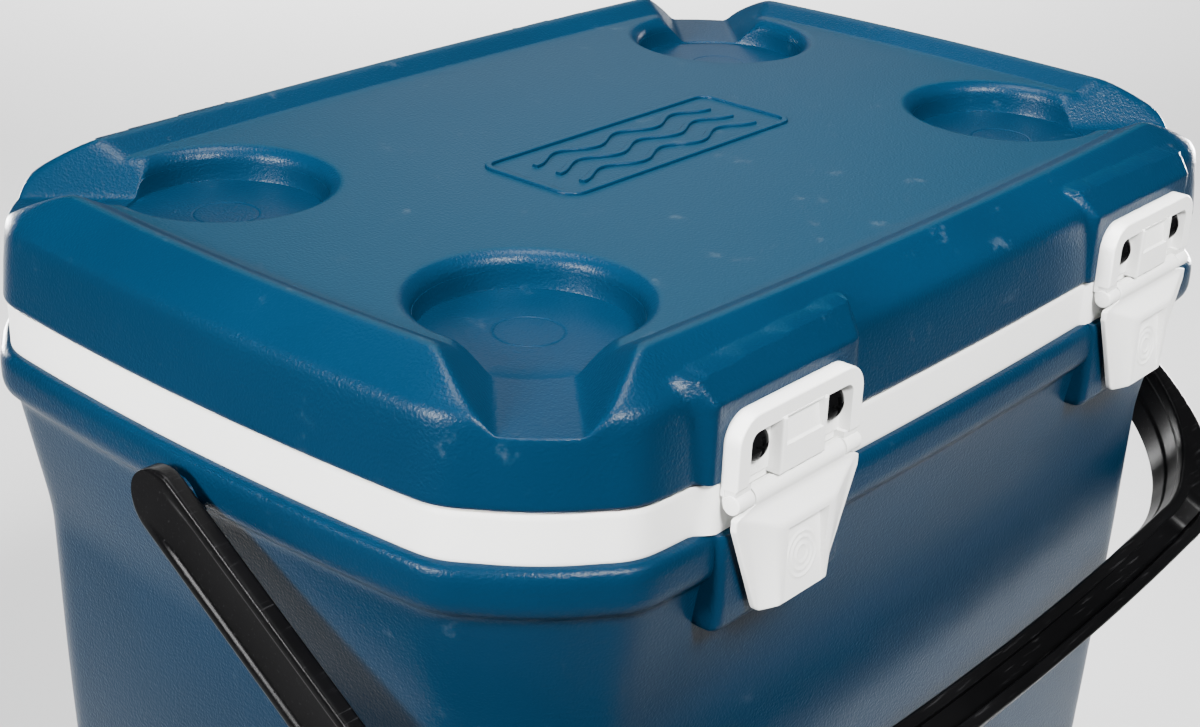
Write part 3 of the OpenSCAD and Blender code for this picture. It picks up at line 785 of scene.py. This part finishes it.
def lever_height(x, y):
    """Outward height of the lever, measured from the pad's face.

    A barrel round the pin runs into a plate, on which stands a wedge with slanted flanks. A sloping finger
    pocket with three plain rings is sunk into the wedge.
    """
    drop = FIELD - y
    ax = np.abs(x)
    barrel = np.sqrt(np.clip(BARREL_R ** 2 - (drop - AXIS_DROP) ** 2, 0.04, None))
    plate = np.where(drop > AXIS_DROP, 2.8, 0.2)
    base = blend_max(barrel, plate, 0.8)
    foot = 30.8 - 12.6 * np.clip((drop - 50) / 36.5, 0, 1)
    crest = 15.2 - 2.2 * np.clip((drop - 54) / 32, 0, 1)
    flank = 2.8 + 4.6 * (foot - ax) / (foot - crest)
    head = 2.6 + 4.8 * (drop - 47.6) / 7.4
    toe = 2.8 + 4.6 * (86.8 - drop) / 1.6
    wedge = blend_min(blend_min(flank, head, 0.9), blend_min(toe, 7.4, 0.9), 0.9)
    height = blend_max(base, wedge, 0.7)
    inside = np.minimum(POCKET_HALF - ax, np.minimum(drop - POCKET_DROP, POCKET_END - drop))
    floor = 3.7 + 3.3 * np.clip((drop - POCKET_DROP) / 26, 0, 1) ** 0.9
    r = np.sqrt(ax * ax + (drop - RING_DROP) ** 2)
    rings = sum(np.exp(-((r - k) / 0.5) ** 2) for k in (3.1, 5.6, 7.8))
    floor = floor + 0.42 * rings
    height = blend_min(height, floor + 7 * np.clip(-inside, 0, None), 0.5)
    rim = np.minimum(lever_width(y) - ax, FOOT_DROP - drop)
    return AXIS_OUT + height - edge_round(rim, 0.9) * 0.9


def rod(x0, x1, r, soft=0.4):
    """A rod along X with rounded ends, about the origin."""
    profile = softened(np.array([[0, x0], [r, x0], [r, x1], [0, x1]], float), [0, soft, soft, 0], 5)
    return placed(turned(profile, 40), FACING_END)


def screw_head():
    """A domed screw head with a cross recess, facing up: height sqrt(7.4^2 - r^2) - 3.4, less the recess."""
    a = np.linspace(0, 2 * math.pi, 96, endpoint=False)
    r = np.concatenate([np.linspace(0, 4.4, 26), np.linspace(4.6, 5.5, 6), [5.7, 5.8]])[:, None]
    x, y = r * np.cos(a), r * np.sin(a)
    dome = np.sqrt(7.4 ** 2 - r ** 2) - 3.4 - edge_round(5.8 - r, 0.5)
    arm = np.minimum(np.maximum(3.0 - np.abs(x), 3.0 - np.abs(y)), 0.85 - np.minimum(np.abs(x), np.abs(y)))
    cross = ease(-0.1, 0.35, np.minimum(arm, 3.2 - r))
    z = dome - 1.5 * cross
    top = np.stack([x, y, z], -1)
    skirt = np.stack([x[-1], y[-1], np.full(96, -0.3)], -1)[None]
    middle = np.zeros((1, 96, 3)) + [0, 0, -0.3]
    return sheet(np.concatenate([middle, skirt, top[::-1]]), True)


# ---------- hinges ----------

HINGE_HALF = 23.0
HINGE_SCREW_X = 14.0
LID_SCREW_DROP = 26.0
BODY_SCREW_DROP = 78.0
KNUCKLE_R = 5.0


def leaf(low, high, hole):
    """A hinge leaf, a plate three millimetres thick with round edges and a faint groove round each screw."""
    up = graded(low, high, 0.9, (low, high), 1.2, 3)

    def height(x, y):
        edge = np.minimum(HINGE_HALF - np.abs(x), np.minimum(y - low, high - y))
        away = np.hypot(np.abs(x) - HINGE_SCREW_X, y - hole)
        return 3.0 - edge_round(edge, 0.9) - 0.25 * np.exp(-((away - 4.6) / 0.5) ** 2)

    return relief(graded(-1, 1, 0.045, (-1, 1), 0.05, 3), up, lambda y: HINGE_HALF + 0 * y, height, 0.05)


def knuckle(x0, x1, barrel_y, barrel_z, neck_z):
    """A hinge knuckle: a barrel and the web that joins it to its leaf."""
    drop = neck_z - barrel_z
    parts = [placed(rod(x0, x1, KNUCKLE_R, 0.5), np.eye(3), (0, barrel_y, barrel_z))]
    corners = np.array([[4.9, 0], [FACE - barrel_y + 0.1, 0], [FACE - barrel_y + 0.1, drop], [1.2, drop]])
    if drop > 0:
        corners = corners[::-1]
    line = softened(corners, 0.6, 5, True)
    x = np.array([x0 + 0.05, x1 - 0.05])
    points = np.stack([
        np.broadcast_to(x[:, None], (2, len(line))),
        np.broadcast_to(barrel_y + line[None, :, 0], (2, len(line))),
        np.broadcast_to(barrel_z + line[None, :, 1], (2, len(line)))], -1)
    parts.append(tube(points[:, ::-1]))
    return parts


# ---------- bail ----------

def bail_line():
    """Middle line of the bail in its own plane: x, distance from the pivot, share of grip and share of width.

    Each arm is straight with a round end, a quarter circle turns it, and the grip is a parabola.
    """
    arm, turn, reach, bow, r = BAIL_END - 3.5, 74.0, 204.0, 6.0, 13.5
    start = -r * np.cos(np.linspace(0.02, math.pi / 2, 12))
    straight = graded(0, reach - turn, 4.0)
    a = np.linspace(0, math.pi / 2, 34)[1:]
    u = np.linspace(0, 1, 42)[1:]
    x = np.concatenate([np.full(len(start) + len(straight) - 1, arm), arm - turn * (1 - np.cos(a)),
                        (arm - turn) * (1 - u)])
    y = np.concatenate([start[:-1], straight, reach - turn + turn * np.sin(a),
                        reach + bow * (1 - (1 - u) ** 2)])
    grip = np.concatenate([np.zeros(len(start) + len(straight) - 1), np.minimum(1, a / math.radians(60)),
                           np.ones(len(u))])
    wide = np.where(y < 0, np.sqrt(np.clip(r * r - y * y, 0.01, None)) / r, 1.0)
    half = np.stack([x, y, grip, wide], 1)
    return np.concatenate([half, (half * [-1, 1, 1, 1])[-2::-1]])


def bail_skin():
    """The bail: a section with a sunk outer face on the arms and a slot along the grip, carried round."""
    line = bail_line()
    x, y, grip, wide = line.T
    smooth = grip * grip * (3 - 2 * grip)
    t = (7 + 12 * grip) / 2
    w = (27 - 3 * grip) / 2 * wide
    reach = np.abs(x)
    slot = 11.5 * ease(192, 184, reach) * (y > 100)
    hollow = 1.3 * ease(0, 16, y) * (1 - ease(0.15, 0.7, grip))
    groove = 0.9 * ease(0, 16, y) * (1 - 0.4 * smooth)
    s = 4.0 * ease(0.2, 0.6, grip) + 0.4
    corners = np.stack([np.stack(c, -1) for c in (
        (t, -w), (t, -w * 0.72), (t - hollow, -w * 0.60), (t - hollow, w * 0.60), (t, w * 0.72), (t, w),
        (s, w), (s, w - slot), (-s, w - slot), (-s, w),
        (-t, w), (-t, w * 0.62), (-t + groove, w * 0.52), (-t + groove, -w * 0.10), (-t, -w * 0.20),
        (-t, -w * 0.85), (-t, -w))], 1)
    cuts = [2.4, 0.8, 0.8, 0.8, 0.8, 1.9, 0.7, 0.6, 0.6, 0.7, 1.9, 0.8, 0.8, 0.8, 0.8, 0.2, 2.4]
    section = softened(corners, cuts, 5, True)
    step = np.gradient(line[:, :2], axis=0)
    way = unit(step)
    out = np.stack([way[:, 1], -way[:, 0]], 1)
    px = x[:, None] + out[:, :1] * section[..., 0]
    py = -y[:, None] - out[:, 1:] * section[..., 0]
    points = np.stack([px, py, section[..., 1]], -1)
    c, n = math.cos(math.radians(REST_ANGLE)), math.sin(math.radians(REST_ANGLE))
    tilt = np.array([[1, 0, 0], [0, c, -n], [0, n, c]])
    return placed(tube(points), tilt, (0, 0, PIVOT_Z))


# ---------- sizes and finishes a user may change ----------

class COOLBOX_PG_finish(bpy.types.PropertyGroup):
    blue: FloatVectorProperty(
        name="Blue", description="Colour of the moulded skins", subtype="COLOR", size=3,
        default=(0.0001, 0.0138, 0.034), min=0, max=1)
    # Painted sheen: the paler grey-blue mixed into the lid's flat field in place of the light it reflects
    painted_sheen: FloatVectorProperty(
        name="Painted_sheen", description="Colour of the lid's grained field", subtype="COLOR", size=3,
        default=(0.0028, 0.021, 0.040), min=0, max=1)
    blue_rough: FloatProperty(
        name="Blue roughness", description="Roughness of the moulded skins", default=0.27, min=0.05, max=1)
    white: FloatVectorProperty(
        name="White", description="Colour of the band, tub, latches and hinges", subtype="COLOR", size=3,
        default=(0.83, 0.83, 0.81), min=0, max=1)
    black: FloatVectorProperty(
        name="Black", description="Colour of the bail and the screws", subtype="COLOR", size=3,
        default=(0.0022, 0.0022, 0.0024), min=0, max=1)


class COOLBOX_PG_sizes(bpy.types.PropertyGroup):
    emblem_length: FloatProperty(
        name="Emblem length", description="Length of the raised frame on the lid", unit="LENGTH",
        default=0.140, min=0.08, max=0.16)
    emblem_height: FloatProperty(
        name="Emblem relief", description="How far the frame and ripples stand up", unit="LENGTH",
        default=0.0011, min=0.0005, max=0.002)
    floor_size: FloatProperty(
        name="Floor size", description="Side of the pale floor", unit="LENGTH", default=12.0, min=2, max=40)


def finish_of(context):
    return context.scene.coolbox_finish


def material_named(name, maker, *values):
    """The material of that name, made once."""
    return bpy.data.materials.get(name) or maker(name, *values)


def blue(context):
    return material_named("blue moulded skin", blue_plastic, finish_of(context))


def white(context):
    return material_named("white fitting plastic", white_plastic, finish_of(context), 30.0, 0.34)


def liner_white(context):
    return material_named("white liner plastic", white_plastic, finish_of(context), 12.0, 0.40)


def handle_black(context):
    return material_named("black satin plastic", black_plastic, finish_of(context), 0.26, 0.05)


def screw_black(context):
    return material_named("black gloss screw", black_plastic, finish_of(context), 0.12, 0.03)


# ---------- operators ----------

class COOLBOX_OT_lid(bpy.types.Operator):
    """Make the lid's blue skin with ridge, cup holders, corner channels and pads"""
    bl_idname = "coolbox.lid"
    bl_label = "Lid skin"

    def execute(self, context):
        make("lid_skin", lid_skin(), blue(context), "lid", ["lid_shell"], 50.0)
        return {"FINISHED"}


class COOLBOX_OT_emblem(bpy.types.Operator):
    """Make the plain raised frame and its three ripples"""
    bl_idname = "coolbox.emblem"
    bl_label = "Emblem"

    def execute(self, context):
        sizes = context.scene.coolbox_sizes
        half, tall = sizes.emblem_length / MM / 2, sizes.emblem_height / MM
        x = np.linspace(-54, 54, 91)
        parts = [strip(rounded_rectangle(half - 1.5, 23.5, 6.5), 3.0, tall, True)]
        for row in (-12, 0, 12):
            parts.append(strip(np.stack([x, row + 3.2 * np.cos(x * math.pi / 18)], 1), 3.0, tall, False))
        parts = [placed(p, np.eye(3), (0, 0, FIELD)) for p in parts]
        make("lid_emblem", parts, blue(context), "lid")
        return {"FINISHED"}


class COOLBOX_OT_body(bpy.types.Operator):
    """Make the blue body skin with its flange, keepers, rear pads and pivot bosses"""
    bl_idname = "coolbox.body"
    bl_label = "Body skin"

    def execute(self, context):
        points = lofted(BODY_PROFILE, BODY_CUTS, 10.0)
        x, y, z = np.moveaxis(points, -1, 0)
        seat = (np.abs(np.abs(x) - LATCH_X) < SEAT_HALF) & (z > COLLAR_Z - 1)
        points = np.stack([x, np.where(seat, np.minimum(y, FACE), y), z], -1)
        parts = [tube(points, [[0, 0, 0], [0, 0, 3]])]
        for s in (-1, 1):
            parts.append(placed(keeper_block(), np.eye(3), (s * LATCH_X, 0, 0)))
            parts.append(placed(bead(18), np.eye(3), (s * LATCH_X, 0, 0)))
            parts.append(placed(rear_pad(62, 92), FACING_BACK, (s * LATCH_X, FACE, 0)))
            turn = FACING_END * [[s], [s], [1]]
            parts.append(placed(pivot_boss(), turn, (s * BOSS_END, 0, PIVOT_Z)))
        make("body_skin", parts, blue(context), "body", ["body_shell", "body_collar"], 42.0)
        return {"FINISHED"}


class COOLBOX_OT_tub(bpy.types.Operator):
    """Make the white tub with the band that shows between lid and body"""
    bl_idname = "coolbox.tub"
    bl_label = "Band and tub"

    def execute(self, context):
        points = lofted(LINER_PROFILE, LINER_CUTS, 8.0)
        x, y, z = np.moveaxis(points, -1, 0)
        wall = np.abs(x).max(1, keepdims=True) > LENGTH / 2 - 2.2
        points = np.stack([x, np.where(wall, band_step(x, y, z), y), z], -1)
        make("tub_liner", [tube(points, [[0, 0, 23.6], [0, 0, 26]])], liner_white(context), "body",
             ["body_liner"], 42.0)
        return {"FINISHED"}


class COOLBOX_OT_latches(bpy.types.Operator):
    """Make both latches: mounting plates with their blocks and knuckles, and levers"""
    bl_idname = "coolbox.latches"
    bl_label = "Latches"

    def execute(self, context):
        material = white(context)
        across = graded(-1, 1, 0.018, (-1, -0.8, -0.35, 0.35, 0.8, 1), 0.04, 3)
        up = graded(FIELD - 41.2, PLATE_TOP, 0.6, (PLATE_LOW, PLATE_TOP - 6.8, PLATE_TOP), 1.0, 4)
        plate = relief(across, up, plate_width, plate_height, 0.05)
        up = graded(BLOCK_LOW, BLOCK_TOP, 0.6, (BLOCK_LOW, BLOCK_POCKET_LOW, BLOCK_POCKET_TOP), 0.8, 3)
        across = graded(-1, 1, 0.05, (-1, -0.79, 0.79, 1), 0.06, 3)
        block = relief(across, up, lambda y: BLOCK_HALF + 0 * y, block_height, 1.0)
        low, high = FIELD - FOOT_DROP, FIELD - NECK_DROP
        up = graded(low, high, 0.5, (low, FIELD - POCKET_DROP, FIELD - 46, high), 1.0, 2)
        across = graded(-1, 1, 0.012, (-1, -0.33, 0.33, 1), 0.05, 2)
        lever = relief(across, up, lever_width, lever_height, AXIS_OUT + 0.7)
        axis = (0, -(FACE + AXIS_OUT), FIELD - AXIS_DROP)
        for side, s in (("left", -1), ("right", 1)):
            parts = [placed(p, FACING_FRONT, (0, -FACE, 0)) for p in (plate, block)]
            for x0, x1 in ((-33.5, -25), (25, 33.5)):
                parts.append(placed(rod(x0, x1, BARREL_R, 0.5), np.eye(3), axis))
                web = relief(np.linspace(-1, 1, 9), np.linspace(FIELD - AXIS_DROP, FIELD - 38, 5),
                             lambda y: 4 + 0 * y, lambda x, y: 5.6 + 0 * x, 0.6)
                parts.append(placed(web, FACING_FRONT, ((x0 + x1) / 2, -FACE, 0)))
            parts = [placed(p, np.eye(3), (s * LATCH_X, 0, 0)) for p in parts]
            make(f"latch_mount_{side}", parts, material, "lid", [f"latch_plate_{side}"])
            barrel = rod(-NECK_W, NECK_W, BARREL_R - 0.02, 0.4)
            parts = [placed(lever, FACING_FRONT, (0, -FACE, 0)), placed(barrel, np.eye(3), axis)]
            parts = [placed(p, np.eye(3), (s * LATCH_X, 0, 0)) for p in parts]
            make(f"latch_flap_{side}", parts, material, f"lever_{side}",
                 [f"latch_lever_{side}"])
        return {"FINISHED"}


class COOLBOX_OT_screws(bpy.types.Operator):
    """Make the black domed screws of the latches and hinges"""
    bl_idname = "coolbox.screws"
    bl_label = "Screws"

    def execute(self, context):
        head = screw_head()
        parts = [
            placed(head, FACING_FRONT, (s * LATCH_X + t * 20.5, -FACE - 2.2, FIELD - 27))
            for s in (-1, 1) for t in (-1, 1)]
        make("latch_screw_heads", parts, screw_black(context), "lid", ["latch_screws"])
        small = np.diag([4 / 5.8, 4 / 5.8, 0.62])
        for body, drop in (("lid", LID_SCREW_DROP), ("body", BODY_SCREW_DROP)):
            parts = [
                placed(head, FACING_BACK @ small, (s * LATCH_X + t * HINGE_SCREW_X, FACE + 3.0, FIELD - drop))
                for s in (-1, 1) for t in (-1, 1)]
            make(f"hinge_{body}_screw_heads", parts, screw_black(context), body,
                 [f"hinge_{body}_screws"])
        return {"FINISHED"}


class COOLBOX_OT_hinges(bpy.types.Operator):
    """Make the leaves of both rear hinges"""
    bl_idname = "coolbox.hinges"
    bl_label = "Hinges"

    def execute(self, context):
        material = white(context)
        barrel_y, barrel_z = FACE + 7, BAND_Z + 9.1
        for side, s in (("left", -1), ("right", 1)):
            for body, low, high, screw, spans, neck in (
                    ("lid", LID_Z + 1, FIELD - 17, LID_SCREW_DROP, ((-9.8, 9.8),), LID_Z + 3),
                    ("body", FIELD - 90, BAND_Z - 2, BODY_SCREW_DROP,
                     ((-HINGE_HALF, -10.2), (10.2, HINGE_HALF)), BAND_Z - 4)):
                parts = [placed(leaf(low, high, FIELD - screw), FACING_BACK, (0, FACE, 0))]
                for x0, x1 in spans:
                    parts += knuckle(x0, x1, barrel_y, barrel_z, neck)
                parts = [placed(p, np.eye(3), (s * LATCH_X, 0, 0)) for p in parts]
                make(f"rear_hinge_{body}_{side}", parts, material, body,
                     [f"hinge_{body}_leaf_{side}"])
        return {"FINISHED"}


class COOLBOX_OT_bail(bpy.types.Operator):
    """Make the black bail handle with its slotted grip"""
    bl_idname = "coolbox.bail"
    bl_label = "Bail handle"

    def execute(self, context):
        make("bail", [bail_skin()], handle_black(context), "handle", ["bail_handle"], 40.0)
        return {"FINISHED"}


class COOLBOX_OT_inner(bpy.types.Operator):
    """Give the foam, pins and lid liner of the CAD model their finishes"""
    bl_idname = "coolbox.inner"
    bl_label = "Inner pieces"

    def execute(self, context):
        metal, core = steel("drawn steel"), foam_core("cream foam")
        finishes = {"lid_liner": liner_white(context), "handle_pin_left": handle_black(context),
                    "handle_pin_right": handle_black(context), "body_foam": core, "lid_foam": core}
        for kind in ("latch_pin", "hinge_pin"):
            for side in ("left", "right"):
                finishes[f"{kind}_{side}"] = metal
        for name, material in finishes.items():
            data = NODES[name].data
            data.materials.clear()
            data.materials.append(material)
        return {"FINISHED"}


# The camera: its place in metres, its yaw from +Y, pitch down and roll in degrees, its lens in millimetres
CAMERA_PLACE = (-0.60465, -0.49151, 0.66931)
CAMERA_TURN = (49.892, 24.392, 2.216)
CAMERA_LENS = 60.97


def lamp(name, size, power, place, target, spread):
    """A square area light at a place, turned to a target, both in metres, with a spread in degrees."""
    data = bpy.data.lights.new(name, "AREA")
    data.shape, data.size, data.energy, data.spread = "SQUARE", size, power, math.radians(spread)
    light = bpy.data.objects.new(name, data)
    light.location = place
    light.visible_camera = False
    light.rotation_euler = (Vector(target) - Vector(place)).to_track_quat("-Z", "Y").to_euler()
    bpy.context.scene.collection.objects.link(light)


class COOLBOX_OT_stage(bpy.types.Operator):
    """Set up the pale floor, the soft lights and the camera"""
    bl_idname = "coolbox.stage"
    bl_label = "Stage"

    def execute(self, context):
        half = context.scene.coolbox_sizes.floor_size / 2
        mesh = bpy.data.meshes.new("floor")
        corners = [(-half, -half, 0), (half, -half, 0), (half, half, 0), (-half, half, 0)]
        mesh.from_pydata(corners, [], [(0, 1, 2, 3)])
        material, w, place, shader = new_material("pale floor")
        tone = w.noise(place, 1.5, 3.0)
        colour = w.mixed(tone, (0.70, 0.70, 0.70, 1), (0.74, 0.74, 0.74, 1))
        w.tree.links.new(colour.socket, shader.inputs["Base Color"])
        shader.inputs["Roughness"].default_value = 0.9
        mesh.materials.append(material)
        floor = bpy.data.objects.new("floor", mesh)
        context.scene.collection.objects.link(floor)
        world = bpy.data.worlds.new("studio")
        world.use_nodes = True
        background = world.node_tree.nodes["Background"]
        background.inputs["Color"].default_value = (1, 1, 1, 1)
        background.inputs["Strength"].default_value = 0.12
        context.scene.world = world
        lamp("overhead", 0.45, 10.5, (-0.05, 0.05, 1.45), (0, 0, 0.4), 130)
        lamp("end_side", 0.5, 5.0, (-1.7, 0.15, 1.05), (0, 0, 0.42), 32)
        lamp("front_side", 0.5, 8.5, (-0.55, -1.35, 1.75), (0.05, -0.1, 0.40), 40)
        lamp("behind", 1.2, 0.55, (1.7, 1.5, 1.35), (0, 0, 0.4), 60)
        lamp("backdrop", 1.2, 110.0, (1.8, 1.8, 2.2), (1.9, 1.9, 0), 110)
        lamp("rear_low", 0.35, 6.0, (0.15, 1.75, 0.21), (0, 0.17, 0.22), 50)
        lamp("right_low", 0.35, 6.0, (1.75, 0.10, 0.21), (0.23, 0, 0.22), 50)
        yaw, pitch, roll = (math.radians(a) for a in CAMERA_TURN)
        level = math.cos(pitch)
        forward = Vector((math.sin(yaw) * level, math.cos(yaw) * level, -math.sin(pitch)))
        right = Vector((math.cos(yaw), -math.sin(yaw), 0))
        up = right.cross(forward)
        across = math.cos(roll) * right + math.sin(roll) * up
        upright = math.cos(roll) * up - math.sin(roll) * right
        data = bpy.data.cameras.new("camera")
        data.sensor_fit, data.sensor_width, data.lens = "HORIZONTAL", 36.0, CAMERA_LENS
        data.clip_start = 0.02
        camera = bpy.data.objects.new("camera", data)
        turn = Matrix((across, upright, -forward)).transposed().to_4x4()
        camera.matrix_world = Matrix.Translation(CAMERA_PLACE) @ turn
        context.scene.collection.objects.link(camera)
        context.scene.camera = camera
        return {"FINISHED"}


OPERATORS = (
    COOLBOX_OT_lid, COOLBOX_OT_emblem, COOLBOX_OT_body, COOLBOX_OT_tub, COOLBOX_OT_latches, COOLBOX_OT_screws,
    COOLBOX_OT_hinges, COOLBOX_OT_bail, COOLBOX_OT_inner, COOLBOX_OT_stage,
)


class COOLBOX_PT_panel(bpy.types.Panel):
    """Lists the steps that build the cool box's looks"""
    bl_idname = "COOLBOX_PT_panel"
    bl_label = "Cool Box"
    bl_space_type = "VIEW_3D"
    bl_region_type = "UI"
    bl_category = "Cool Box"

    def draw(self, context):
        for group in (context.scene.coolbox_sizes, context.scene.coolbox_finish):
            for name in group.bl_rna.properties.keys():
                if name not in ("rna_type", "name"):
                    self.layout.prop(group, name)
        for operator in OPERATORS:
            self.layout.operator(operator.bl_idname)


CLASSES = (COOLBOX_PG_sizes, COOLBOX_PG_finish, *OPERATORS, COOLBOX_PT_panel)


def register():
    for cls in CLASSES:
        bpy.utils.register_class(cls)
    bpy.types.Scene.coolbox_sizes = PointerProperty(type=COOLBOX_PG_sizes)
    bpy.types.Scene.coolbox_finish = PointerProperty(type=COOLBOX_PG_finish)


def unregister():
    del bpy.types.Scene.coolbox_finish
    del bpy.types.Scene.coolbox_sizes
    for cls in reversed(CLASSES):
        bpy.utils.unregister_class(cls)


def main():
    """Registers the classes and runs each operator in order."""
    register()
    bpy.ops.coolbox.lid()
    bpy.ops.coolbox.emblem()
    bpy.ops.coolbox.body()
    bpy.ops.coolbox.tub()
    bpy.ops.coolbox.latches()
    bpy.ops.coolbox.screws()
    bpy.ops.coolbox.hinges()
    bpy.ops.coolbox.bail()
    bpy.ops.coolbox.inner()
    bpy.ops.coolbox.stage()


if __name__ == "__main__":
    main()
